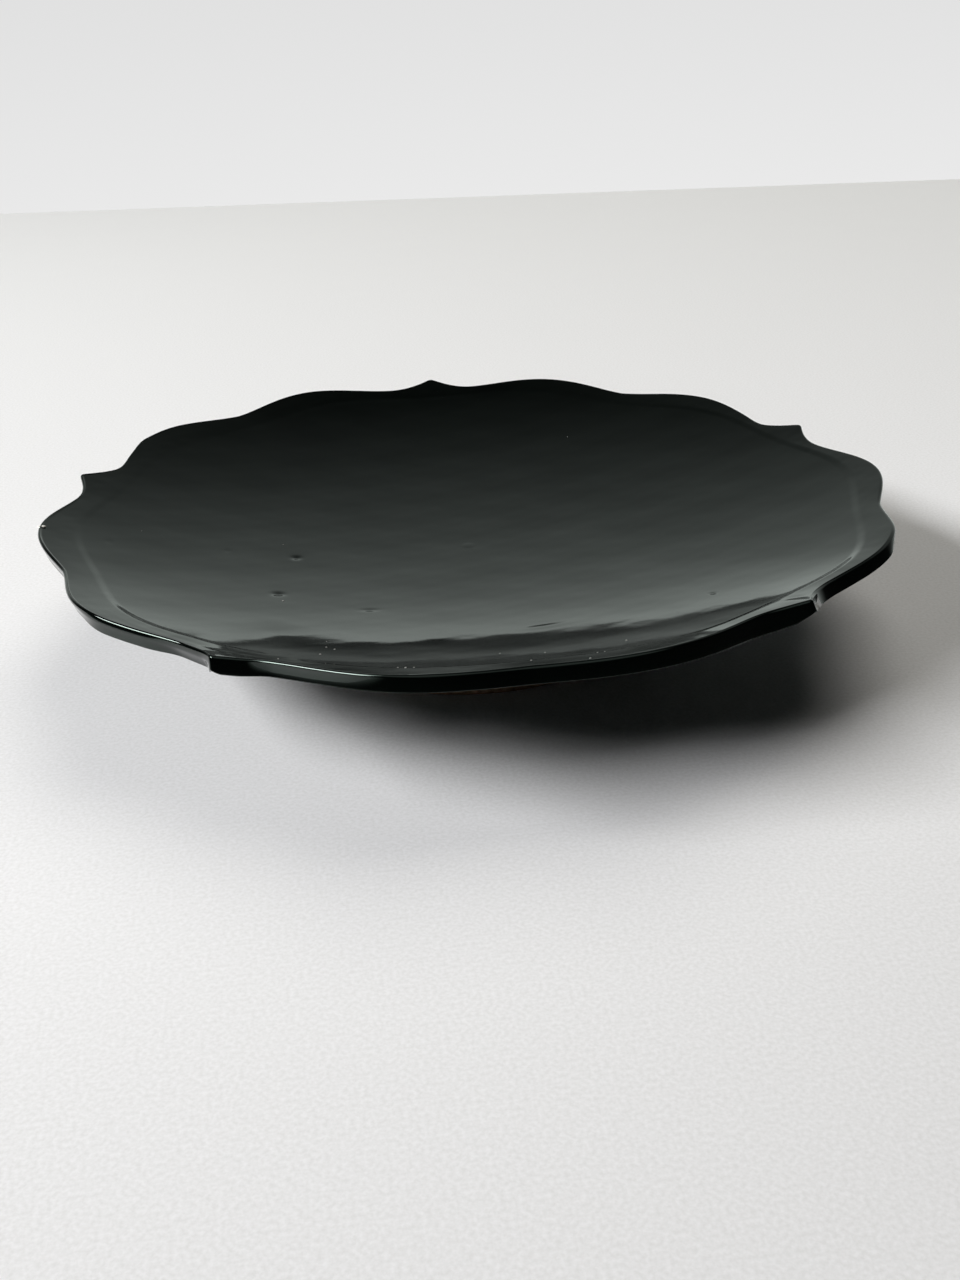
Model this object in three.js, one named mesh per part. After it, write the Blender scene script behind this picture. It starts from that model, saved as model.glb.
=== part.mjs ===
// A lobed stoneware plate with a black glaze, in millimetres, +Z up.
// The foot ring rests on z = 0 round the origin, and one cusp of the rim points to +Y.
import * as THREE from "three";

// The rim seen from above: each cusp runs into a cove, a bulge, a dip, a second bulge and the next cove.
const CUSPS = 5;
const CREST_R = 90;
const CUSP_R = 89.8;
const COVE_R = 86.3;
const DIP_R = 86.5;
const COVE_ANGLE = 6.5; // degrees from the cusp
const CREST_ANGLE = 21.5; // degrees from the cusp
const FULLNESS = 0.85; // under 1 makes the bulges rounder than a plain wave

// Heights of the face.
const RIM_HEIGHT = 29.8; // top of the rim in its dips
const RIM_LIFT = 0.38; // rise of the rim for each millimetre that it reaches past the dips
const FLOOR_HEIGHT = 16.4; // top of the well in the middle
const WELL_RISE = 9.15; // rise of the well from its middle to the crease, as a round bowl
const WELL_CURL = 3.06; // its further rise, by steepening towards the crease

// The flange and the soft step that sets it off from the well.
const FLANGE_WIDTH = 5.6;
const CREASE_WAVE = 1.2;
const CREASE_RUN = 2;
const CREASE_STEP = 0.13;

// The rim's edge and the underside.
const EDGE_HEIGHT = 3;
const EDGE_LEAN = 0.5; // how far the top of the edge stands in from its bottom
const TOP_ARRIS = 0.35;
const LOWER_ARRIS = 0.4;
const UNDER_SHAPE = 1.25; // over 1 thickens the wall between foot and rim
const GLAZE = 0.45;

// The foot ring.
const FOOT_R = 39.5;
const FOOT_WIDTH = 5;
const FOOT_HEIGHT = 12.4;
const FOOT_DRAFT = 1; // how far each wall leans out from the bottom edge to the top
const FOOT_CHAMFER = 0.8;
const BARE_BAND = 2; // height of the wall that is wiped clean of glaze
const GLAZE_FILLET = 1.2;

// How finely each stretch is divided.
const FLANK_STEPS = 3;
const RISE_STEPS = 5;
const FALL_STEPS = 4;

const sectorAngle = 360 / CUSPS;
const dipAngle = sectorAngle / 2;
const creaseR = (CREST_R + DIP_R) / 2 - FLANGE_WIDTH;
const footInnerR = FOOT_R - FOOT_WIDTH;

// A wave from 0 to 1 with level ends, as t goes from 0 to 1.
function wave(t) {
  return (1 - Math.cos(Math.PI * t)) / 2;
}

// Angle from the nearest cusp, in degrees.
function fromCusp(angle) {
  const a = angle % sectorAngle;
  return Math.min(a, sectorAngle - a);
}

// Radius of the glazed rim at an angle from the first cusp.
function rimRadius(angle) {
  const a = fromCusp(angle);
  if (a < COVE_ANGLE) {
    return COVE_R + (CUSP_R - COVE_R) * (1 - a / COVE_ANGLE) ** 2;
  }
  if (a < CREST_ANGLE) {
    const t = (a - COVE_ANGLE) / (CREST_ANGLE - COVE_ANGLE);
    return COVE_R + (CREST_R - COVE_R) * wave(t) ** FULLNESS;
  }
  const t = (dipAngle - a) / (dipAngle - CREST_ANGLE);
  return DIP_R + (CREST_R - DIP_R) * wave(t) ** FULLNESS;
}

// Height of the glazed rim's top.
function rimTop(angle) {
  return RIM_HEIGHT + RIM_LIFT * (rimRadius(angle) - DIP_R);
}

// Radius of the crease between flange and well: two soft lobes in each sector.
function creaseRadius(angle) {
  return creaseR - CREASE_WAVE * Math.cos((4 * Math.PI * angle) / sectorAngle);
}

// Height of the well's glazed face, a shallow bowl that steepens outwards.
function wellTop(r) {
  const q = r / creaseR;
  return FLOOR_HEIGHT + WELL_RISE * q ** 2 + WELL_CURL * q ** 4;
}

function wellSlope(r) {
  const q = r / creaseR;
  return (2 * WELL_RISE * q + 4 * WELL_CURL * q ** 3) / creaseR;
}

function creaseTop(angle) {
  return wellTop(creaseRadius(angle)) + CREASE_STEP;
}

// The flange runs straight from the crease up to the rim.
function flangeSlope(angle) {
  return (rimTop(angle) - creaseTop(angle)) / (rimRadius(angle) - creaseRadius(angle));
}

// Walls of the foot ring at a height.
function footOuter(z) {
  return FOOT_R + (FOOT_DRAFT * z) / FOOT_HEIGHT;
}

function footInner(z) {
  return footInnerR - (FOOT_DRAFT * z) / FOOT_HEIGHT;
}

// A ring is a function from angle to [radius, height].
// The face from the middle of the well out to the rim, sunk by inset below the glaze's own surface.
function faceRings(inset, wellSteps, creaseSteps, flangeSteps) {
  const rings = [];
  for (let i = 1; i <= wellSteps; i++) {
    const s = Math.sqrt(i / wellSteps);
    rings.push((angle) => {
      const r = s * (creaseRadius(angle) - CREASE_RUN);
      return [r, wellTop(r) - inset];
    });
  }
  for (let i = 1; i <= creaseSteps; i++) {
    const t = i / creaseSteps;
    rings.push((angle) => {
      const startR = creaseRadius(angle) - CREASE_RUN;
      const startZ = wellTop(startR);
      const startRise = CREASE_RUN * wellSlope(startR);
      const endRise = CREASE_RUN * flangeSlope(angle);
      const bend = startRise * t * (1 - t) ** 2 - endRise * t * t * (1 - t);
      const rise = (creaseTop(angle) - startZ) * t * t * (3 - 2 * t);
      return [startR + CREASE_RUN * t, startZ + rise + bend - inset];
    });
  }
  for (let i = 1; i <= flangeSteps; i++) {
    const t = i / flangeSteps;
    rings.push((angle) => {
      const outerR = rimRadius(angle) - EDGE_LEAN - TOP_ARRIS - inset;
      const r = THREE.MathUtils.lerp(creaseRadius(angle), outerR, t);
      return [r, rimTop(angle) - flangeSlope(angle) * (rimRadius(angle) - r) - inset];
    });
  }
  return rings;
}

// The rounded edge of the rim, from the end of the flange to the start of the underside.
function edgeRings(inset, arrisSteps) {
  const rings = [];
  for (let i = 1; i <= arrisSteps; i++) {
    const turn = ((Math.PI / 2) * i) / arrisSteps;
    const out = EDGE_LEAN + TOP_ARRIS * (1 - Math.sin(turn));
    const fall = TOP_ARRIS * (1 - Math.cos(turn));
    rings.push((angle) => {
      const flangeDrop = flangeSlope(angle) * (EDGE_LEAN + TOP_ARRIS * Math.cos(turn));
      return [rimRadius(angle) - inset - out, rimTop(angle) - inset - flangeDrop - fall];
    });
  }
  for (let i = 0; i <= arrisSteps; i++) {
    const turn = ((Math.PI / 2) * i) / arrisSteps;
    const out = LOWER_ARRIS * (1 - Math.cos(turn));
    const rise = LOWER_ARRIS * (1 - Math.sin(turn)) + inset - EDGE_HEIGHT;
    rings.push((angle) => [rimRadius(angle) - inset - out, rimTop(angle) + rise]);
  }
  return rings;
}

// The underside from the rim in to the foot ring, lying at drop below the clay and at gap outside the foot.
function underRings(inset, drop, gap, steps) {
  const rings = [];
  for (let i = steps - 1; i >= 0; i--) {
    const u = i / steps;
    rings.push((angle) => {
      const innerR = footOuter(FOOT_HEIGHT) + gap;
      const outerR = rimRadius(angle) - inset - LOWER_ARRIS;
      const footZ = FOOT_HEIGHT - drop;
      const rimZ = rimTop(angle) + inset - EDGE_HEIGHT;
      const r = THREE.MathUtils.lerp(innerR, outerR, u);
      return [r, footZ + (rimZ - footZ) * u ** UNDER_SHAPE];
    });
  }
  return rings;
}

const round = (r, z) => () => [r, z];

// Angles of the vertical planes that carry every ring's points, from the first cusp.
function sampleAngles() {
  const half = [0];
  for (let i = 1; i <= FLANK_STEPS; i++) {
    half.push((COVE_ANGLE * i) / FLANK_STEPS);
  }
  for (let i = 1; i <= RISE_STEPS; i++) {
    half.push(THREE.MathUtils.lerp(COVE_ANGLE, CREST_ANGLE, i / RISE_STEPS));
  }
  for (let i = 1; i <= FALL_STEPS; i++) {
    half.push(THREE.MathUtils.lerp(CREST_ANGLE, dipAngle, i / FALL_STEPS));
  }
  const sector = [...half, ...half.slice(1, -1).reverse().map((a) => sectorAngle - a)];
  const angles = [];
  for (let n = 0; n < CUSPS; n++) {
    sector.forEach((a) => angles.push(a + n * sectorAngle));
  }
  return angles;
}

const angles = sampleAngles();

// A solid skinned over rings that run round its section with the material on the right.
// With axis heights the section starts and ends on the axis, and without them it closes on itself.
function skin(rings, axisHeights) {
  const count = angles.length;
  const points = [];
  rings.forEach((ring) => {
    angles.forEach((angle) => {
      const [r, z] = ring(angle);
      const turn = THREE.MathUtils.degToRad(90 + angle);
      points.push(new THREE.Vector3(r * Math.cos(turn), r * Math.sin(turn), z));
    });
  });
  const index = [];
  const last = axisHeights ? rings.length - 1 : rings.length;
  for (let i = 0; i < last; i++) {
    const next = (i + 1) % rings.length;
    for (let j = 0; j < count; j++) {
      const k = (j + 1) % count;
      const [a, b, c, d] = [i * count + j, i * count + k, next * count + j, next * count + k];
      const split = points[a].distanceTo(points[d]) < points[b].distanceTo(points[c]);
      index.push(...(split ? [a, c, d, a, d, b] : [a, c, b, c, d, b]));
    }
  }
  if (axisHeights) {
    const start = points.length;
    axisHeights.forEach((z) => points.push(new THREE.Vector3(0, 0, z)));
    const end = (rings.length - 1) * count;
    for (let j = 0; j < count; j++) {
      const k = (j + 1) % count;
      index.push(start, j, k, end + j, start + 1, end + k);
    }
  }
  const geometry = new THREE.BufferGeometry().setFromPoints(points);
  geometry.setIndex(index);
  geometry.computeVertexNormals();
  return geometry;
}

const clay = new THREE.MeshStandardMaterial({ color: 0x7d5238, roughness: 0.9, metalness: 0 });
const glaze = new THREE.MeshStandardMaterial({ color: 0x070908, roughness: 0.12, metalness: 0 });

const plate = new THREE.Group();
plate.name = "lobed_plate";

function add(name, geometry, material) {
  const mesh = new THREE.Mesh(geometry, material);
  mesh.name = name;
  plate.add(mesh);
}

// The clay dish, whose flat underside carries the foot ring.
const clayRings = [
  ...faceRings(GLAZE, 6, 1, 1),
  ...edgeRings(GLAZE, 1),
  ...underRings(GLAZE, 0, 0, 3),
];
add("dish_body", skin(clayRings, [FLOOR_HEIGHT - GLAZE, FOOT_HEIGHT]), clay);

// The foot ring, luted to the flat underside.
const footRings = [
  round(footOuter(FOOT_HEIGHT), FOOT_HEIGHT),
  round(footOuter(BARE_BAND), BARE_BAND),
  round(footOuter(FOOT_CHAMFER), FOOT_CHAMFER),
  round(FOOT_R - FOOT_CHAMFER, 0),
  round(footInnerR + FOOT_CHAMFER, 0),
  round(footInner(FOOT_CHAMFER), FOOT_CHAMFER),
  round(footInner(BARE_BAND), BARE_BAND),
  round(footInner(FOOT_HEIGHT), FOOT_HEIGHT),
];
add("foot_ring", skin(footRings), clay);

// The glaze over the face, round the edge, under the dish and down the foot to its bare band.
const filletZ = FOOT_HEIGHT - GLAZE - GLAZE_FILLET;
const coatRings = [
  ...faceRings(0, 6, 3, 1),
  ...edgeRings(0, 2),
  ...underRings(0, GLAZE, GLAZE + GLAZE_FILLET, 3),
  round(footOuter(filletZ) + GLAZE, filletZ),
  round(footOuter(BARE_BAND) + GLAZE, BARE_BAND),
  round(footOuter(BARE_BAND), BARE_BAND),
  ...[...clayRings].reverse(),
];
add("glaze_coat", skin(coatRings, [FLOOR_HEIGHT, FLOOR_HEIGHT - GLAZE]), glaze);

// The glaze inside the foot ring: a shallow cup against the underside and the inner wall.
const cupRings = [
  round(footInner(FOOT_HEIGHT), FOOT_HEIGHT),
  round(footInner(BARE_BAND), BARE_BAND),
  round(footInner(BARE_BAND) - GLAZE, BARE_BAND),
  round(footInner(filletZ) - GLAZE, filletZ),
  round(footInner(FOOT_HEIGHT) - GLAZE - GLAZE_FILLET, FOOT_HEIGHT - GLAZE),
];
add("foot_well_glaze", skin(cupRings, [FOOT_HEIGHT, FOOT_HEIGHT - GLAZE]), glaze);

export default plate;
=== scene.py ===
import math
import bmesh
import bpy
import numpy as np
from mathutils import Matrix, Vector


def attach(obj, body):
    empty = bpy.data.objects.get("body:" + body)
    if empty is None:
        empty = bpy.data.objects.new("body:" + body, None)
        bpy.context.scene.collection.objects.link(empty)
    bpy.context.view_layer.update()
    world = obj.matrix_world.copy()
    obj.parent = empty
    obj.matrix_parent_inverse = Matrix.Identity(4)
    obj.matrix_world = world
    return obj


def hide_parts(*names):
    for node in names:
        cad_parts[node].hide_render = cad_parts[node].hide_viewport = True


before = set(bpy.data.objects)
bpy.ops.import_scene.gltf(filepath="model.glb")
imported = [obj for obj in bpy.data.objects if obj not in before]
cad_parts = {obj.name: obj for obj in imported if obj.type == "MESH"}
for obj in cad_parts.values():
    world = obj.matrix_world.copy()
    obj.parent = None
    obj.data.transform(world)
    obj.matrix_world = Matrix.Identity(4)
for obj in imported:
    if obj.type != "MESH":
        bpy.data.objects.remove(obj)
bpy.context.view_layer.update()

MM = 0.001

# How far the photograph's camera stands round from the -Y side, in degrees
CAMERA_TURN = -6.68

# The rim from above, as in the part's source, in millimetres and degrees from a cusp
CUSPS = 5
CREST_R = 90
CUSP_R = 89.8
COVE_R = 86.3
DIP_R = 86.5
COVE_ANGLE = 6.5
CREST_ANGLE = 21.5
FULLNESS = 0.85
TIP_SOFTNESS = 0.35
RIM_SHRINK = 0.12

# The cusps as they came out of the making, in turn from +Y: shifts in degrees, trims in millimetres
CUSP_SHIFTS = -0.8, 0, 0.3, -1.2, 0.3
SHIFT_REACH = 9
CUSP_TRIMS = 0, 0, 1, 0, 0
TRIM_REACH = 3

# Places between the cusps where the rim was trimmed or left full: angle, trim in millimetres and width
LOBE_TRIMS = (65.5, 0.75, 3.5), (55.5, -0.4, 2.5), (294.5, 0.45, 3)

# Heights of the face, and the crease between the well and the flange
RIM_HEIGHT = 29.8
RIM_LIFT = 0.38
FLOOR_HEIGHT = 16.4
WELL_RISE = 9.15
WELL_CURL = 3.06
FLANGE_WIDTH = 5.6
FLANGE_SLOPE = 0.33
CREASE_WAVE = 1.2
CREASE_RUN = 2.0
CREASE_STEP = 0.1
CREASE_SWING = 0.1
CURL_SWING = 0.3
CREASE_TURN = -80
CREASE_SHIFT = 1.1
CREASE_DIP = 0.22
CREASE_DIP_ANGLE = 151
CREASE_DIP_WIDTH = 6

# The rim's slight saddle from the kiln, and one drooping lobe, both from a little outside the foot
WARP = 0.66
WARP_TURN = 121
DROOP = 0.8
DROOP_ANGLE = 234
DROOP_WIDTH = 12
SAG_START = 2
SAG_LIMIT = 1.1

# The rim's edge from arris to arris, with its height round the plate as pairs of angle and millimetres
EDGE_HEIGHT = 3
EDGE_HEIGHTS = (
    (0, 2.8), (60, 2.8), (100, 2.9), (132, 3), (138, 3.5), (143.4, 3.6), (144.3, 2.2), (145.4, 2.85),
    (158, 2.65), (182, 2.75), (200, 3), (211, 3.5), (213, 3.3), (214.4, 2.3), (214.9, 1.9), (215.6, 2.1),
    (216.6, 2.2), (230, 2.1), (236, 1.75), (241, 1.4), (246, 1.3), (252, 1.6), (260, 2.3), (300, 2.6),
    (360, 2.8),
)
ARRIS_RADIUS = 0.42
LOWER_RADIUS = 0.1

# The edge's faces, as leans from top to bottom in degrees from upright
PLAIN_FACE = 20, 11
LEFT_FACE = 10, -19, -24, -21, -17, -12, -8
UNDERCUT_FACE = -6, -22, -27, -25, -21, -16, -11
SOFT_FACE = 26, 16, -10, -7, -3, 0, 3
PALE_FACE = 2, -14, -32, -32, -28, -22, -16
HOLLOW_FACE = -14, -2, 6, 11, 14
RIGHT_FACE = 24, 18
END_FACE = 10, -5, -25, -45

# Each face's angles of start, full reach and end, and whether the arris stays where the plain face has it
FACES = (
    (LEFT_FACE, (60, 88, 108, 116), True),
    (UNDERCUT_FACE, (108, 116, 120, 127), True),
    (SOFT_FACE, (120, 127, 132, 138), True),
    (PALE_FACE, (132, 138, 142, 145), True),
    (HOLLOW_FACE, (146.5, 151, 156, 170), True),
    (RIGHT_FACE, (214.9, 215.6, 235, 244), True),
    (END_FACE, (235, 244, 250, 290), False),
)

# The edge's cuts at the cusps, the underside, the glaze's thickness and the extra inset of the clay's rim
CUSP_CUTS = 1, 1, 0, 0, 1
CUSP_CUT_WIDTH = 1.1
UNDER_SLOPE = 0.41
UNDER_SHAPE = 1.25
UNDER_BEND = 10
GLAZE = 0.45
CLAY_INSET = 0.2

# The foot ring, and the levels of its rows
FOOT_R = 39.5
FOOT_WIDTH = 5
FOOT_HEIGHT = 12.4
FOOT_DRAFT = 1
FOOT_ROUND = 0.8
BARE_BAND = 2
GLAZE_FILLET = 1.2
FOOT_LEVELS = 9, 6, 4, 3, BARE_BAND, 1.4
CUP_LEVEL = 7

# Faults of the glaze: pits as X, Y, depth and two sizes, specks as X, Y and size, and a pale spot in the
# rim
PITS = (
    (-37.4, -4.3, 0.20, 0.65, 0.7), (-41.1, -26.4, 0.20, 0.8, 0.7), (-23.6, -36.0, 0.07, 1.2, 0.6),
    (40.2, -50.4, 0.07, 0.4, 0.45), (-75.5, -4.7, 0.03, 0.5, 0.5), (-51.8, -2.1, 0.03, 0.5, 0.6),
    (49.7, -68.6, 0.05, 1.1, 1.0),
)
SPECKS = (
    (-32.2, -57.0, 0.16), (-32.3, -61.2, 0.26), (-30.9, -62.7, 0.26), (-33.4, -66.9, 0.3),
    (-40.3, -71.8, 0.24), (-21.0, -79.2, 0.24), (-19.8, -80.6, 0.28), (-18.4, -79.7, 0.28),
    (-3.1, -70.8, 0.2), (0.6, -81.4, 0.24), (4.2, -73.8, 0.2), (9.6, -85.2, 0.26),
    (11.8, -80.3, 0.24), (13.0, -80.4, 0.24), (18.4, -72.9, 0.26), (-40.1, -30.7, 0.34),
    (-69.7, 3.9, 0.14), (-40.1, 3.2, 0.14), (32.5, 53.7, 0.16),
)
SPECK_SHAPE = 0.7, 0.7, 0.3
SPECK_PALE = 0.3
# The pale spot: a small bead sunk into the rim's face at the left, painted almost white
RIM_SPOT_ANGLE = 92.6
RIM_SPOT_INSET = 1.15
RIM_SPOT_SINK = 0.05
RIM_SPOT_SIZES = 1.0, 0.6, 0.25
RIM_SPOT_PALE = 1

# The glaze's ripples as height, length and seed, and how far the face is sunk to keep them inside the CAD
RIPPLES = (0.02, 17, 1), (0.03, 38, 2), (0.004, 6, 3)
FLANGE_RIPPLE = 0.006, 4, 5
FLANGE_RIPPLE_START = 2
FLANGE_RIPPLE_RUN = 3
RIPPLE_SINK = 0.06

# A slow dent and fine streaks of the glaze at the front left, and a thin ridge in the well at the front
DENT = 0.17
DENT_R = 58.7
DENT_RUN = 7.7
DENT_ANGLE = 141.6
DENT_WIDTH = 4.6
RIDGE = 0.05
RIDGE_R = 54.5
RIDGE_ANGLE = 188
RIDGE_BREADTH = 1.4
RIDGE_WIDTH = 5
STREAK = 0.008
STREAK_ANGLE = 142
STREAK_WIDTH = 16
STREAK_RUN = 2
STREAK_PITCH = 2.3
STREAK_SLANT = 0.06

# Steps of the meshes, and the row of the edge that is the middle of its arris
ARRIS_STEPS = 8
ARRIS_ROW = 4
FACE_STEPS = 14
UNDER_STEPS = 30
CLAY_UNDER_STEPS = 8
FILLET_STEPS = 8
WALL_STEPS = 12
CUP_WALL_STEPS = 8
CUP_FLOOR_STEPS = 10
ROUND_STEPS = 6
WELL_CROWDING = 0.8
FOOT_ANGLE_STEP = 1.5
BEAD_RINGS = 4
BEAD_SIDES = 8

sector_angle = 360 / CUSPS
dip_angle = sector_angle / 2
crease_r = (CREST_R + DIP_R) / 2 - FLANGE_WIDTH
foot_inner_r = FOOT_R - FOOT_WIDTH


def wave(t):
    """A smooth rise from 0 to 1."""
    return (1 - np.cos(np.pi * t)) / 2


def near_cusp(angle, n, width):
    """1 at a cusp, falling away on both sides."""
    a = np.mod(angle - n * sector_angle + 180, 360) - 180
    return np.exp(-(a / width) ** 2)


def from_cusp(angle):
    """Degrees from the nearest cusp, rounded off at its tip."""
    shift = sum(size * near_cusp(angle, n, SHIFT_REACH) for n, size in enumerate(CUSP_SHIFTS))
    a = np.mod(angle - shift, sector_angle)
    a = np.minimum(a, sector_angle - a)
    return np.sqrt(a * a + TIP_SOFTNESS ** 2) - TIP_SOFTNESS


def rim_radius(angle):
    """The rim from above: flanks at the cusps, then a cove, a lobe and the dip between two lobes."""
    a = from_cusp(angle)
    flank = COVE_R + (CUSP_R - COVE_R) * (1 - np.minimum(a, COVE_ANGLE) / COVE_ANGLE) ** 2
    rise = np.clip((a - COVE_ANGLE) / (CREST_ANGLE - COVE_ANGLE), 0, 1)
    bulge = COVE_R + (CREST_R - COVE_R) * wave(rise) ** FULLNESS
    fall = np.clip((dip_angle - a) / (dip_angle - CREST_ANGLE), 0, 1)
    dip = DIP_R + (CREST_R - DIP_R) * wave(fall) ** FULLNESS
    r = np.where(a < COVE_ANGLE, flank, np.where(a < CREST_ANGLE, bulge, dip))
    trim = sum(size * near_cusp(angle, n, TRIM_REACH) for n, size in enumerate(CUSP_TRIMS))
    trim = trim + sum(size * np.exp(-((angle - place) / width) ** 2) for place, size, width in LOBE_TRIMS)
    return r - RIM_SHRINK - trim


def rim_top(angle):
    return RIM_HEIGHT + RIM_LIFT * (rim_radius(angle) - DIP_R)


def crease_radius(angle):
    aside = CREASE_SHIFT * np.cos(np.radians(angle + 90 - CAMERA_TURN))
    return crease_r - CREASE_WAVE * np.cos(4 * np.pi * angle / sector_angle) + aside


def crease_top(angle):
    low = CREASE_DIP * np.exp(-((angle - CREASE_DIP_ANGLE) / CREASE_DIP_WIDTH) ** 2)
    return well_top(crease_radius(angle), angle) + CREASE_STEP + CREASE_SWING * lean(angle) - low


def lean(angle):
    """1 at the front right, where the crease is sharpest, and -1 opposite."""
    return np.cos(np.radians(angle + 90 - CREASE_TURN))


def well_top(r, angle):
    """Height of the well, which curls up less at the back left."""
    q = r / crease_r
    curl = WELL_CURL - CURL_SWING * (1 - lean(angle)) / 2
    return FLOOR_HEIGHT + WELL_RISE * q ** 2 + curl * q ** 4


def well_slope(r, angle):
    q = r / crease_r
    curl = WELL_CURL - CURL_SWING * (1 - lean(angle)) / 2
    return (2 * WELL_RISE * q + 4 * curl * q ** 3) / crease_r


def sag(angle, r):
    """How far the saddle and the droop lie below the saddle's highest line."""
    start_r = FOOT_R + SAG_START
    reach = np.clip((r - start_r) / (CREST_R - start_r), 0, SAG_LIMIT) ** 2
    droop = DROOP * np.exp(-((angle - DROOP_ANGLE) / DROOP_WIDTH) ** 2)
    return reach * (WARP * (1 - np.cos(np.radians(2 * (angle + 90 - WARP_TURN)))) + droop)


def foot_outer(z):
    return FOOT_R + FOOT_DRAFT * z / FOOT_HEIGHT


def foot_inner(z):
    return foot_inner_r - FOOT_DRAFT * z / FOOT_HEIGHT


def quarter(steps, first=1):
    """Even steps of a quarter turn, in radians."""
    return [math.pi / 2 * i / steps for i in range(first, steps + 1)]


def sector_samples(steps, crowding):
    """Angles round the plate, closer together at the cusps."""
    s = np.linspace(0, 1, steps + 1)
    half = dip_angle * ((1 - crowding) * s + crowding * s * s)
    sector = np.concatenate([half, sector_angle - half[1:-1][::-1]])
    return np.concatenate([sector + n * sector_angle for n in range(CUSPS)])


def edge_section(leans):
    """Points of the rim's edge as insets from the outermost line and drops from the rim's top.

    The leans are those of the face between its two arrises, from top to bottom, in degrees from upright.
    """
    along = (np.arange(FACE_STEPS) + 0.5) / FACE_STEPS
    turned = (np.arange(ARRIS_STEPS) + 0.5) / ARRIS_STEPS
    face = np.radians(np.interp(along, np.linspace(0, 1, len(leans)), leans) - 90)
    flange, under = math.atan(FLANGE_SLOPE), math.atan(UNDER_SLOPE) - math.pi
    top, bottom = math.radians(leans[0] - 90), math.radians(leans[-1] - 90)
    upper = flange + (top - flange) * turned
    lower = bottom + (under - bottom) * turned
    upper_step = ARRIS_RADIUS * (flange - top) / ARRIS_STEPS
    lower_step = LOWER_RADIUS * (bottom - under) / ARRIS_STEPS
    rounded = -upper_step * np.sin(upper).sum() - lower_step * np.sin(lower).sum()
    face_step = (EDGE_HEIGHT - rounded) / -np.sin(face).sum()
    headings = np.concatenate([upper, face, lower])
    steps = np.repeat([upper_step, face_step, lower_step], [ARRIS_STEPS, FACE_STEPS, ARRIS_STEPS])
    x = np.concatenate([[0], np.cumsum(steps * np.cos(headings))])
    z = np.concatenate([[0], np.cumsum(steps * np.sin(headings))])
    out = x.max() - x
    return out, FLANGE_SLOPE * out[0] - z


def smooth_noise(x, y, scale, seed):
    """A slow fixed ripple of five crossing waves whose turns, lengths and phases differ, about -1 to 1."""
    total = np.zeros_like(x)
    for n in range(5):
        turn = seed * 1.7 + n * 2.4
        size = scale * (0.7 + 0.17 * n)
        phase = seed * 3.1 + n * 1.9
        total = total + np.sin(2 * np.pi * (x * np.cos(turn) + y * np.sin(turn)) / size + phase)
    return total / 3


def face_section(angle, well_steps, crease_steps, flange_steps, edge_inset):
    """Radii and heights of the face from near the middle of the well out to the start of the rim's edge."""
    start_r = crease_radius(angle) - CREASE_RUN
    start_z = well_top(start_r, angle)
    rows = []
    for i in range(1, well_steps + 1):
        r = start_r * (i / well_steps) ** WELL_CROWDING
        rows.append((r, well_top(r, angle)))
    crease_z = crease_top(angle)
    width = rim_radius(angle) - crease_radius(angle)
    slope = (rim_top(angle) - crease_z) / width
    for i in range(1, crease_steps + 1):
        t = i / crease_steps
        bend = CREASE_RUN * well_slope(start_r, angle) * t * (1 - t) ** 2
        bend = bend - CREASE_RUN * slope * t * t * (1 - t)
        rows.append((start_r + CREASE_RUN * t, start_z + (crease_z - start_z) * t * t * (3 - 2 * t) + bend))
    for i in range(1, flange_steps + 1):
        r = crease_radius(angle) + (width - edge_inset) * i / flange_steps
        rows.append((r, crease_z + slope * (r - crease_radius(angle))))
    return rows


def ripple(angles, r):
    """The glaze's slow unevenness on the face, in millimetres."""
    turn = np.radians(90 + angles)
    x, y = r * np.cos(turn), r * np.sin(turn)
    total = sum(size * smooth_noise(x, y, scale, seed) for size, scale, seed in RIPPLES) - RIPPLE_SINK
    size, scale, seed = FLANGE_RIPPLE
    outside = np.clip((r - crease_r + FLANGE_RIPPLE_START) / FLANGE_RIPPLE_RUN, 0, 1)
    total = total + size * smooth_noise(x, y, scale, seed) * outside
    fall = np.clip((r - DENT_R) / DENT_RUN, 0, 1)
    dent = fall * fall * (3 - 2 * fall) * np.exp(-((angles - DENT_ANGLE) / DENT_WIDTH) ** 2)
    total = total - DENT * dent
    ridge = np.exp(-((r - RIDGE_R) / RIDGE_BREADTH) ** 2 - ((angles - RIDGE_ANGLE) / RIDGE_WIDTH) ** 2)
    total = total + RIDGE * ridge
    streak = np.exp(-((angles - STREAK_ANGLE) / STREAK_WIDTH) ** 2)
    streak = streak * np.clip((r - crease_radius(angles)) / STREAK_RUN, 0, 1)
    total = total + STREAK * streak * np.sin(2 * np.pi * (r + STREAK_SLANT * angles) / STREAK_PITCH)
    for px, py, depth, across, along in PITS:
        total = total - depth * np.exp(-((x - px) / across) ** 2 / 2 - ((y - py) / along) ** 2 / 2)
    return total


def face_height(x, y):
    """Height of the face at a place, by the same section."""
    r, angle = np.hypot(x, y), np.mod(np.degrees(np.arctan2(y, x)) - 90, 360)
    rc = crease_radius(angle)
    crease_z = crease_top(angle)
    slope = (rim_top(angle) - crease_z) / (rim_radius(angle) - rc)
    z = np.where(r < rc - CREASE_RUN / 2, well_top(r, angle), crease_z + slope * (r - rc))
    return z + ripple(angle, r) - sag(angle, r)


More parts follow.
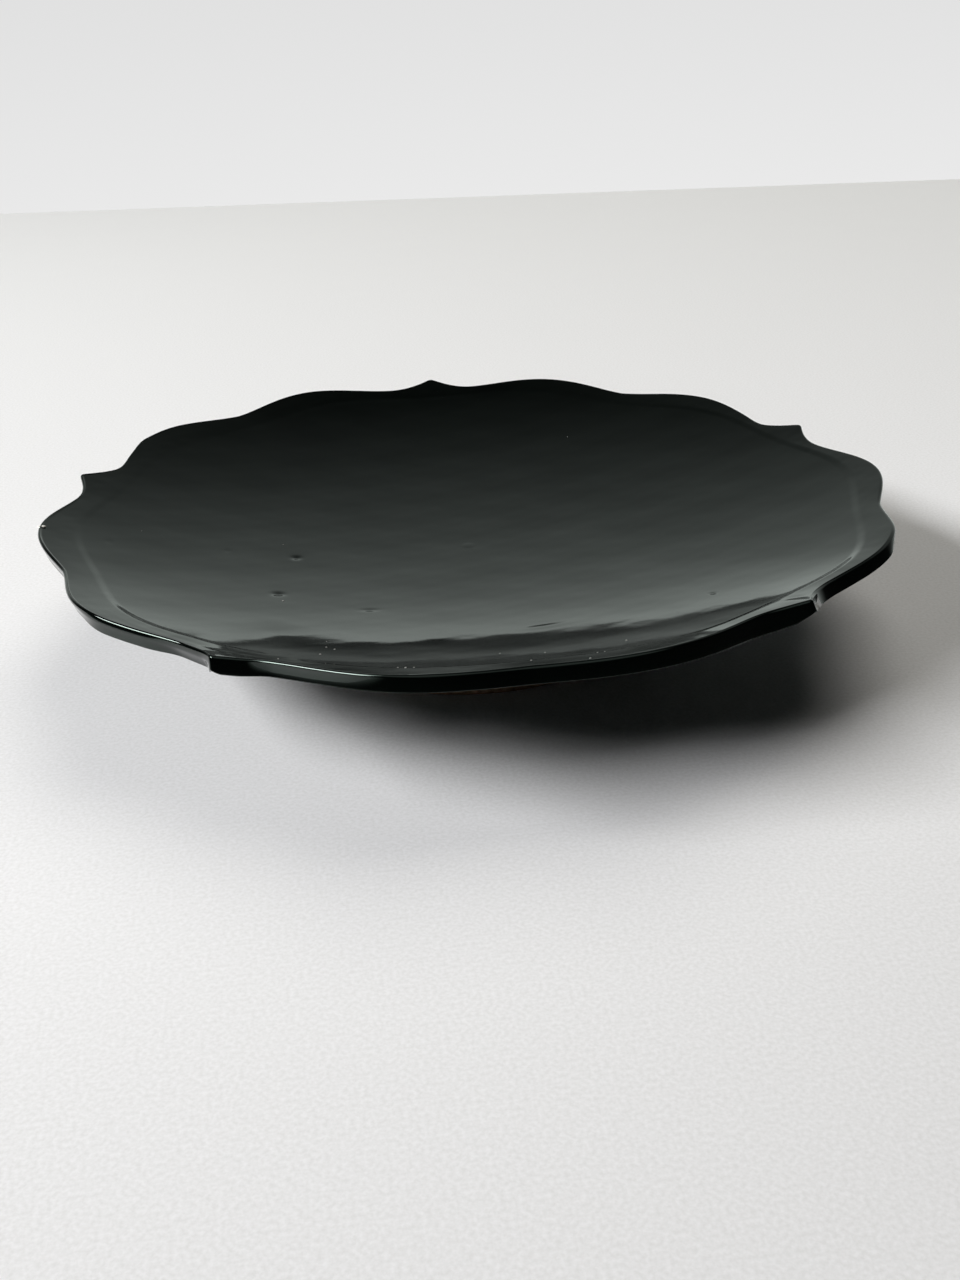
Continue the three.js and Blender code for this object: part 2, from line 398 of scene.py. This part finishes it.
def closed_rings(name, rows, angles, axis_heights=None, beads=()):
    """A closed mesh over rings, from the axis at the start to the axis at the end, or closed on itself.

    Each bead adds a small closed pale grain at a place, with its three half-sizes and its paleness.
    """
    count = len(angles)
    turn = np.radians(90 + angles)
    verts = []
    for r, z in rows:
        r = np.broadcast_to(r, angles.shape)
        z = np.broadcast_to(z, angles.shape) - sag(angles, r)
        verts.append(np.stack([r * np.cos(turn), r * np.sin(turn), z], -1))
    verts = np.concatenate(verts)
    j = np.arange(count)
    k = (j + 1) % count
    faces = []
    last = len(rows) - 1 if axis_heights else len(rows)
    for i in range(last):
        n = (i + 1) % len(rows)
        faces += np.stack([i * count + j, n * count + j, n * count + k, i * count + k], -1).tolist()
    verts = verts.tolist()
    if axis_heights:
        first = len(verts)
        verts += [[0, 0, axis_heights[0]], [0, 0, axis_heights[1]]]
        end = (len(rows) - 1) * count
        faces += [[first, int(a), int(b)] for a, b in zip(j, k)]
        faces += [[int(end + a), first + 1, int(end + b)] for a, b in zip(j, k)]
    paleness = [0.0] * len(verts)
    for place, sizes, pale in beads:
        base = len(verts)
        for i in range(1, BEAD_RINGS + 1):
            for side in range(BEAD_SIDES):
                a, b = math.pi * i / (BEAD_RINGS + 1), 2 * math.pi * side / BEAD_SIDES
                unit = math.sin(a) * math.cos(b), math.sin(a) * math.sin(b), math.cos(a)
                verts.append([p + u * size for p, u, size in zip(place, unit, sizes)])
        top, bottom = len(verts), len(verts) + 1
        verts.append([place[0], place[1], place[2] + sizes[2]])
        verts.append([place[0], place[1], place[2] - sizes[2]])
        for side in range(BEAD_SIDES):
            here = [base + BEAD_SIDES * i + side for i in range(BEAD_RINGS)]
            beside = [base + BEAD_SIDES * i + (side + 1) % BEAD_SIDES for i in range(BEAD_RINGS)]
            faces.append([top, here[0], beside[0]])
            faces += [list(f) for f in zip(here, here[1:], beside[1:], beside)]
            faces.append([bottom, beside[-1], here[-1]])
        paleness += [pale] * (len(verts) - base)
    mesh = bpy.data.meshes.new(name)
    mesh.from_pydata([(x * MM, y * MM, z * MM) for x, y, z in verts], [], faces)
    mesh.update()
    mesh.shade_smooth()
    pale_mark = mesh.attributes.new("pale_mark", "FLOAT", "POINT")
    pale_mark.data.foreach_set("value", paleness)
    piece = bpy.data.objects.new(name, mesh)
    bpy.context.scene.collection.objects.link(piece)
    return piece


# The glaze over the face, round the edge, under the dish and down the foot
angles = sector_samples(steps=72, crowding=0.7)
plain_out, plain_drop = edge_section(PLAIN_FACE)
edge_out = np.tile(plain_out[:, None], len(angles))
edge_drop = np.tile(plain_drop[:, None], len(angles))
for leans, places, arris_held in FACES:
    share = wave(np.interp(angles, places, (0, 1, 1, 0)))
    out, drop = edge_section(leans)
    held = out[ARRIS_ROW] - plain_out[ARRIS_ROW] if arris_held else 0
    edge_out = edge_out + share * (out - plain_out - held)[:, None]
    edge_drop = edge_drop + share * (drop - plain_drop)[:, None]
taller = np.interp(angles, *zip(*EDGE_HEIGHTS)) / EDGE_HEIGHT
below = ARRIS_ROW + 1
edge_drop[below:] = edge_drop[ARRIS_ROW] + (edge_drop[below:] - edge_drop[ARRIS_ROW]) * taller
cut = sum(size * near_cusp(angles, n, CUSP_CUT_WIDTH) for n, size in enumerate(CUSP_CUTS))
edge_out = edge_out + cut * (edge_drop / EDGE_HEIGHT) ** 3
rows = face_section(angles, well_steps=200, crease_steps=14, flange_steps=16, edge_inset=edge_out[0])
rows = [(r, z + ripple(angles, r)) for r, z in rows]
for out, drop in zip(edge_out[1:], edge_drop[1:]):
    r = rim_radius(angles) - out
    rows.append((r, rim_top(angles) - drop + ripple(angles, r)))
under_outer = rim_radius(angles) - edge_out[-1]
under_top = rim_top(angles) - edge_drop[-1]
under_even = rim_top(angles) - plain_drop[-1]
under_step = under_top - under_even
fillet_r = foot_outer(FOOT_HEIGHT) + GLAZE + GLAZE_FILLET
fillet_z = FOOT_HEIGHT - GLAZE
for i in range(UNDER_STEPS - 1, -1, -1):
    u = i / UNDER_STEPS
    z = fillet_z + (under_even - fillet_z) * u ** UNDER_SHAPE + under_step * u ** UNDER_BEND
    rows.append((fillet_r + (under_outer - fillet_r) * u, z))
for turn in quarter(FILLET_STEPS):
    z = fillet_z - GLAZE_FILLET * (1 - math.cos(turn))
    rows.append((foot_outer(z) + GLAZE + GLAZE_FILLET * (1 - math.sin(turn)), z))
for i in range(1, WALL_STEPS + 1):
    z = fillet_z - GLAZE_FILLET + (BARE_BAND + GLAZE - fillet_z + GLAZE_FILLET) * i / WALL_STEPS
    rows.append((foot_outer(z) + GLAZE, z))
for turn in quarter(ROUND_STEPS):
    z = BARE_BAND + GLAZE * (1 - math.sin(turn))
    rows.append((foot_outer(z) + GLAZE * math.cos(turn), z))

# The surface between glaze and clay, which both share
inner_r = foot_outer(FOOT_HEIGHT)
clay_rows = [(inner_r, FOOT_HEIGHT)]
for i in range(1, CLAY_UNDER_STEPS + 1):
    u = i / CLAY_UNDER_STEPS
    r = inner_r + (under_outer - GLAZE - inner_r) * u
    z = FOOT_HEIGHT + (under_even + GLAZE - FOOT_HEIGHT) * u ** UNDER_SHAPE
    z = z + under_step * u ** UNDER_BEND
    clay_rows.append((r, z))
middle = len(edge_out) // 2
clay_inset = edge_out[0] + GLAZE
face_rows = face_section(angles, well_steps=24, crease_steps=4, flange_steps=3, edge_inset=clay_inset)
clay_rim_r = rim_radius(angles) - edge_out[middle] - GLAZE - CLAY_INSET
clay_rows.append((clay_rim_r, (under_top + face_rows[-1][1]) / 2))
for r, z in face_rows[::-1]:
    clay_rows.append((r, z - GLAZE))
rows += clay_rows
beads = []
for x, y, size in SPECKS:
    beads.append(((x, y, float(face_height(x, y))), [share * size for share in SPECK_SHAPE], SPECK_PALE))
# The pale spot at the left rim, a small bead painted almost white
turn = math.radians(90 + RIM_SPOT_ANGLE)
rim_spot_r = float(rim_radius(RIM_SPOT_ANGLE)) - RIM_SPOT_INSET
x, y = rim_spot_r * math.cos(turn), rim_spot_r * math.sin(turn)
beads.append(((x, y, float(face_height(x, y)) - RIM_SPOT_SINK), RIM_SPOT_SIZES, RIM_SPOT_PALE))
glaze = closed_rings("glaze_skin", rows, angles, (FLOOR_HEIGHT, FLOOR_HEIGHT - GLAZE), beads)
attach(glaze, "root")
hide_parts("glaze_coat")

# The clay dish that the glaze covers
dish = closed_rings("dish_clay", clay_rows[::-1], angles, (FLOOR_HEIGHT - GLAZE, FOOT_HEIGHT))
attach(dish, "root")
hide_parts("dish_body")

# The foot ring, with a worn round edge
round_angles = np.arange(0, 360, FOOT_ANGLE_STEP)
rows = [(foot_outer(FOOT_HEIGHT), FOOT_HEIGHT)]
for z in FOOT_LEVELS:
    rows.append((foot_outer(z), z))
for turn in quarter(ROUND_STEPS, first=0):
    rows.append((FOOT_R - FOOT_ROUND * (1 - math.cos(turn)), FOOT_ROUND * (1 - math.sin(turn))))
for i in range(1, ROUND_STEPS):
    rows.append((FOOT_R - FOOT_ROUND - (FOOT_WIDTH - 2 * FOOT_ROUND) * i / ROUND_STEPS, 0))
for turn in quarter(ROUND_STEPS, first=0):
    rows.append((foot_inner_r + FOOT_ROUND * (1 - math.sin(turn)), FOOT_ROUND * (1 - math.cos(turn))))
for z in (*FOOT_LEVELS[::-1], FOOT_HEIGHT):
    rows.append((foot_inner(z), z))
foot = closed_rings("foot_clay", rows, round_angles)
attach(foot, "root")
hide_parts("foot_ring")

# The glaze inside the foot ring
rows = [(foot_inner(z), z) for z in (FOOT_HEIGHT, CUP_LEVEL, BARE_BAND)]
for turn in quarter(ROUND_STEPS):
    z = BARE_BAND + GLAZE * (1 - math.cos(turn))
    rows.append((foot_inner(z) - GLAZE * math.sin(turn), z))
for i in range(1, CUP_WALL_STEPS + 1):
    z = BARE_BAND + GLAZE + (fillet_z - GLAZE_FILLET - BARE_BAND - GLAZE) * i / CUP_WALL_STEPS
    rows.append((foot_inner(z) - GLAZE, z))
for turn in quarter(FILLET_STEPS):
    z = fillet_z - GLAZE_FILLET * (1 - math.sin(turn))
    rows.append((foot_inner(z) - GLAZE - GLAZE_FILLET * (1 - math.cos(turn)), z))
for i in range(1, CUP_FLOOR_STEPS):
    rows.append(((foot_inner(FOOT_HEIGHT) - GLAZE - GLAZE_FILLET) * (1 - i / CUP_FLOOR_STEPS), fillet_z))
cup = closed_rings("foot_well_skin", rows, round_angles, (FOOT_HEIGHT, fillet_z))
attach(cup, "root")
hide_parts("foot_well_glaze")


def new_material(name):
    """A material with its node tree, its shader and the place on the piece."""
    material = bpy.data.materials.new(name)
    material.use_nodes = True
    tree = material.node_tree
    place = tree.nodes.new("ShaderNodeTexCoord").outputs["Object"]
    return material, tree, tree.nodes["Principled BSDF"], place


def noise(tree, place, scale, detail=2):
    """Soft noise, between 0 and 1."""
    node = tree.nodes.new("ShaderNodeTexNoise")
    node.inputs["Scale"].default_value = scale
    node.inputs["Detail"].default_value = detail
    tree.links.new(place, node.inputs["Vector"])
    return node.outputs["Fac"]


def ramp(tree, value, low, high):
    """A colour between two stops, each a place on the value and a colour."""
    node = tree.nodes.new("ShaderNodeValToRGB")
    for element, (position, colour) in zip(node.color_ramp.elements, (low, high)):
        element.position = position
        element.color = (*colour, 1)
    tree.links.new(value, node.inputs["Fac"])
    return node.outputs["Color"]


def map_range(tree, value, source=(0, 1), target=(0, 1), kind="LINEAR"):
    """A value taken from one range to another, and held at its ends."""
    node = tree.nodes.new("ShaderNodeMapRange")
    node.interpolation_type = kind
    node.inputs["From Min"].default_value, node.inputs["From Max"].default_value = source
    node.inputs["To Min"].default_value, node.inputs["To Max"].default_value = target
    tree.links.new(value, node.inputs["Value"])
    return node.outputs["Result"]


def mix(tree, factor, first, second):
    """Two colours mixed by a factor, each a socket or three numbers."""
    node = tree.nodes.new("ShaderNodeMix")
    node.data_type = "RGBA"
    tree.links.new(factor, node.inputs["Factor"])
    for name, colour in (("A", first), ("B", second)):
        if isinstance(colour, tuple):
            node.inputs[name].default_value = (*colour, 1)
        else:
            tree.links.new(colour, node.inputs[name])
    return node.outputs["Result"]


def dot(tree, vector, way):
    """How far a vector reaches in a direction."""
    node = tree.nodes.new("ShaderNodeVectorMath")
    node.operation = "DOT_PRODUCT"
    node.inputs[1].default_value = way
    tree.links.new(vector, node.inputs[0])
    return node.outputs["Value"]


def bump(tree, shader, height, strength, distance):
    """A fine relief, with its depth in metres."""
    node = tree.nodes.new("ShaderNodeBump")
    node.inputs["Strength"].default_value = strength
    node.inputs["Distance"].default_value = distance
    tree.links.new(height, node.inputs["Height"])
    tree.links.new(node.outputs["Normal"], shader.inputs["Normal"])


def black_glaze():
    """Black gloss with slow changes of tone and haze, a fine orange peel and pale grains."""
    material, tree, shader, place = new_material("black_glaze_gloss")
    cloud = noise(tree, place, scale=60, detail=4)
    tone = ramp(tree, cloud, (0.35, (0.0003, 0.0006, 0.0005)), (0.7, (0.0007, 0.0013, 0.0010)))
    pale_mark = tree.nodes.new("ShaderNodeAttribute")
    pale_mark.attribute_name = "pale_mark"
    tree.links.new(mix(tree, pale_mark.outputs["Fac"], tone, (0.8, 0.78, 0.74)), shader.inputs["Base Color"])
    tree.links.new(map_range(tree, cloud, (0.3, 0.7), (0.05, 0.09)), shader.inputs["Roughness"])
    shader.inputs["IOR"].default_value = 1.5
    shader.inputs["Specular Tint"].default_value = (0.85, 1.0, 0.93, 1)
    bump(tree, shader, noise(tree, place, scale=220), strength=0.02, distance=0.0005)
    return material


def bare_clay():
    """Dry brown stoneware with a fine grain."""
    material, tree, shader, place = new_material("bare_stoneware")
    grain = noise(tree, place, scale=900, detail=6)
    tone = ramp(tree, grain, (0.3, (0.30, 0.17, 0.10)), (0.7, (0.50, 0.33, 0.22)))
    tree.links.new(tone, shader.inputs["Base Color"])
    tree.links.new(map_range(tree, grain, target=(0.7, 0.95)), shader.inputs["Roughness"])
    bump(tree, shader, grain, strength=0.5, distance=0.0002)
    return material


def table_top():
    """A pale speckled table, with painted shade darkening it a little towards the front right."""
    material, tree, shader, place = new_material("pale_table")
    speck = noise(tree, place, scale=1500, detail=3)
    pale = ramp(tree, speck, (0.3, (0.76, 0.76, 0.765)), (0.7, (0.86, 0.86, 0.875)))
    # Painted shade: the table's colour is darkened towards the front right
    across = dot(tree, place, facing @ Vector(TABLE_SHADE_WAY).normalized())
    painted_shade = map_range(tree, across, TABLE_SHADE_REACH, (0, TABLE_SHADE))
    tree.links.new(mix(tree, painted_shade, pale, (0, 0, 0)), shader.inputs["Base Color"])
    cloud = noise(tree, place, scale=25)
    tree.links.new(map_range(tree, cloud, target=(0.28, 0.4)), shader.inputs["Roughness"])
    shader.inputs["Specular IOR Level"].default_value = 0.08
    bump(tree, shader, speck, strength=0.12, distance=0.0001)
    return material


gloss = black_glaze()
clay = bare_clay()
for piece in (glaze, cup):
    piece.data.materials.append(gloss)
for piece in (dish, foot):
    piece.data.materials.append(clay)

# The photograph's camera, for a picture of 960 by 1280, its eye in crest radii from the rim's mean plane
FOCAL_PX = 1365.2
PITCH = 25.69
ROLL = -2.08
PICTURE_HEIGHT = 1280
SENSOR = 36
MEAN_RIM = 0.97
arris_out, arris_drop = plain_out[ARRIS_ROW], plain_drop[ARRIS_ROW]
unit = CREST_R - RIM_SHRINK - arris_out
EYE = Vector((0.02085, -3.13737, 1.10716)) * unit
RIM_PLANE = RIM_HEIGHT + RIM_LIFT * (MEAN_RIM * unit + arris_out - DIP_R) - arris_drop - WARP
facing = Matrix.Rotation(math.radians(CAMERA_TURN), 3, "Z")
pitch, roll = math.radians(PITCH), math.radians(ROLL)
ahead = Vector((0, math.cos(pitch), -math.sin(pitch)))
above = Vector((0, math.sin(pitch), math.cos(pitch)))
aside = Vector((1, 0, 0))
right = facing @ (math.cos(roll) * aside + math.sin(roll) * above)
up = facing @ (math.cos(roll) * above - math.sin(roll) * aside)
back = -(facing @ ahead)
eye = (facing @ EYE + Vector((0, 0, RIM_PLANE))) * MM
camera = bpy.data.objects.new("camera", bpy.data.cameras.new("camera"))
camera.data.sensor_width = SENSOR
camera.data.lens = FOCAL_PX / PICTURE_HEIGHT * SENSOR
camera.data.clip_start = 0.01
pose = Matrix((right, up, back)).transposed().to_4x4()
pose.translation = eye
camera.matrix_world = pose
bpy.context.scene.collection.objects.link(camera)
bpy.context.scene.camera = camera

# The table, square to the camera, in metres, with its sides as places at the front and at the back
TABLE_FRONT = -0.184
TABLE_BACK = 0.665
TABLE_LEFT = -0.16, -0.42
TABLE_RIGHT = 0.105, 0.375
TABLE_DEEP = 0.03
# TABLE_SHADE is painted shade: how far the table's colour darkens towards the front right, where less light
# falls
TABLE_SHADE = 0.14
TABLE_SHADE_WAY = 0.45, -0.9, 0
TABLE_SHADE_REACH = 0.05, 0.17
TABLE_BEVEL = 0.002
mesh = bpy.data.meshes.new("table")
work = bmesh.new()
bmesh.ops.create_cube(work, size=1)
for v in work.verts:
    v.co.x = (TABLE_LEFT if v.co.x < 0 else TABLE_RIGHT)[int(v.co.y > 0)]
    v.co.y = TABLE_FRONT if v.co.y < 0 else TABLE_BACK
    v.co.z = 0 if v.co.z > 0 else -TABLE_DEEP
    v.co = facing @ v.co
bmesh.ops.bevel(work, geom=work.edges[:], offset=TABLE_BEVEL, segments=3, affect="EDGES")
work.to_mesh(mesh)
work.free()
table = bpy.data.objects.new("table", mesh)
bpy.context.scene.collection.objects.link(table)
table.data.materials.append(table_top())

# The room: pale low down behind the table, dark overhead and behind the camera
ROOM_BRIGHT = 0.84
ROOM_DARK = 0.02
ROOM_FADE = 21.5
ROOM_TOP = 66
ROOM_TOP_SHARPNESS = 3.0
ROOM_SIDES = 0.45, 0.85
ROOM_TINT = 0.92, 1.0, 0.95
WALL = 0.752
WALL_RISE = 0.5
WALL_TINT = 1.0, 1.0, 1.0
AMBIENT = 0.004
world = bpy.data.worlds.new("room")
world.use_nodes = True
bpy.context.scene.world = world
tree = world.node_tree
way = tree.nodes.new("ShaderNodeTexCoord").outputs["Generated"]
parts = tree.nodes.new("ShaderNodeSeparateXYZ")
tree.links.new(way, parts.inputs[0])


def math_node(kind, a, b=None):
    """The output of a maths node over numbers or sockets."""
    node = tree.nodes.new("ShaderNodeMath")
    node.operation = kind
    for socket, value in zip(node.inputs, (a, b)):
        if value is None:
            continue
        if isinstance(value, (int, float)):
            socket.default_value = value
        else:
            tree.links.new(value, socket)
    return node.outputs[0]


rise = math_node("MAXIMUM", math_node("ARCSINE", parts.outputs["Z"]), 0.0)
fade = math_node("EXPONENT", math_node("DIVIDE", rise, -math.radians(ROOM_FADE)))
shade = math_node("POWER", math_node("DIVIDE", rise, math.radians(ROOM_TOP)), ROOM_TOP_SHARPNESS)
fade = math_node("MULTIPLY", fade, math_node("MAXIMUM", math_node("SUBTRACT", 1.0, shade), 0.0))
level = tree.nodes.new("ShaderNodeCombineXYZ")
tree.links.new(parts.outputs["X"], level.inputs["X"])
tree.links.new(parts.outputs["Y"], level.inputs["Y"])
flat = tree.nodes.new("ShaderNodeVectorMath")
flat.operation = "NORMALIZE"
tree.links.new(level.outputs[0], flat.inputs[0])
flat_way = flat.outputs["Vector"]
toward = dot(tree, flat_way, facing @ Vector((0, 1, 0)))
side = map_range(tree, toward, ROOM_SIDES, (ROOM_DARK, ROOM_BRIGHT), "SMOOTHSTEP")
room = math_node("MULTIPLY", fade, side)

# The floor beyond the table on the left, pale nearby and fading into the dark
FLOOR_GLOW = 0.75
GLOW_AZIMUTH = -145 + CAMERA_TURN
GLOW_SIDES = 0.55, 0.9
GLOW_DEPTHS = 2, 18
azimuth = math.radians(GLOW_AZIMUTH)
leftward = dot(tree, flat_way, (math.cos(azimuth), math.sin(azimuth), 0))
glow = map_range(tree, leftward, GLOW_SIDES, kind="SMOOTHSTEP")
depths = [math.sin(math.radians(angle)) for angle in GLOW_DEPTHS]
down = math_node("MULTIPLY", parts.outputs["Z"], -1.0)
low = map_range(tree, down, depths, (0, FLOOR_GLOW), "SMOOTHSTEP")
room = math_node("ADD", room, math_node("MULTIPLY", glow, low))

# A soft pale ceiling, high up behind the camera
CEILING = 0.5
CEILING_HEIGHT = 60
CEILING_REACH = 46, 22
height = math.radians(CEILING_HEIGHT)
upward = dot(tree, way, facing @ Vector((0, -math.cos(height), math.sin(height))))
reach = [math.cos(math.radians(angle)) for angle in CEILING_REACH]
room = math_node("ADD", room, map_range(tree, upward, reach, (0, CEILING), "SMOOTHSTEP"))

# The tall window on the left that the rim's arris mirrors
WINDOW = 8.0
WINDOW_AZIMUTH = -158 + CAMERA_TURN
WINDOW_HALF = 16
WINDOW_HEIGHTS = 20, 62
azimuth = math.radians(WINDOW_AZIMUTH)
sideways = dot(tree, flat_way, (math.cos(azimuth), math.sin(azimuth), 0))
inside = math_node("GREATER_THAN", sideways, math.cos(math.radians(WINDOW_HALF)))
inside = math_node("MULTIPLY", inside, math_node("GREATER_THAN", rise, math.radians(WINDOW_HEIGHTS[0])))
inside = math_node("MULTIPLY", inside, math_node("LESS_THAN", rise, math.radians(WINDOW_HEIGHTS[1])))
room = math_node("ADD", room, math_node("MULTIPLY", inside, WINDOW))

# The gloss mirrors the room, the camera sees a plain wall, and other rays get only a faint light
ray = tree.nodes.new("ShaderNodeLightPath")
mirror = math_node("MAXIMUM", ray.outputs["Is Glossy Ray"], ray.outputs["Is Transmission Ray"])
seen = math_node("MAXIMUM", ray.outputs["Is Camera Ray"], mirror)
wall = math_node("ADD", math_node("MULTIPLY", math_node("MAXIMUM", down, 0.0), WALL_RISE), WALL)
strength = math_node("MULTIPLY", wall, ray.outputs["Is Camera Ray"])
strength = math_node("ADD", strength, math_node("MULTIPLY", room, mirror))
strength = math_node("ADD", strength, math_node("MULTIPLY", AMBIENT, math_node("SUBTRACT", 1.0, seen)))
background = tree.nodes["Background"]
tint = mix(tree, ray.outputs["Is Camera Ray"], ROOM_TINT, WALL_TINT)
tree.links.new(tint, background.inputs["Color"])
tree.links.new(strength, background.inputs["Strength"])


def area_lamp(name, place, size, power):
    """A rectangular lamp, which shines straight down until it is turned."""
    lamp = bpy.data.lights.new(name, "AREA")
    lamp.shape = "RECTANGLE"
    lamp.size, lamp.size_y = size
    lamp.energy = power
    piece = bpy.data.objects.new(name, lamp)
    piece.location = place
    bpy.context.scene.collection.objects.link(piece)
    return piece


# A large soft lamp from the left
KEY_AZIMUTH = -159 + CAMERA_TURN
KEY_HEIGHT = 35.5
KEY_DISTANCE = 1.72
KEY_SIZE = 1.34, 0.37
KEY_POWER = 41.2
azimuth, height = math.radians(KEY_AZIMUTH), math.radians(KEY_HEIGHT)
toward_key = Vector((
    math.cos(azimuth) * math.cos(height), math.sin(azimuth) * math.cos(height), math.sin(height),
))
key = area_lamp("key", toward_key * KEY_DISTANCE, KEY_SIZE, KEY_POWER)
key.rotation_euler = toward_key.to_track_quat("Z", "Y").to_euler()

# A wide dim lamp overhead
TOP_PLACE = 0.42, 1.15, 1.6
TOP_SIZE = 1.25, 2.1
TOP_POWER = 19.5
TOP_COLOUR = 1.0, 0.97, 0.9
top = area_lamp("top", facing @ Vector(TOP_PLACE), TOP_SIZE, TOP_POWER)
top.data.color = TOP_COLOUR
top.visible_glossy = False

bpy.context.scene.view_settings.view_transform = "Standard"
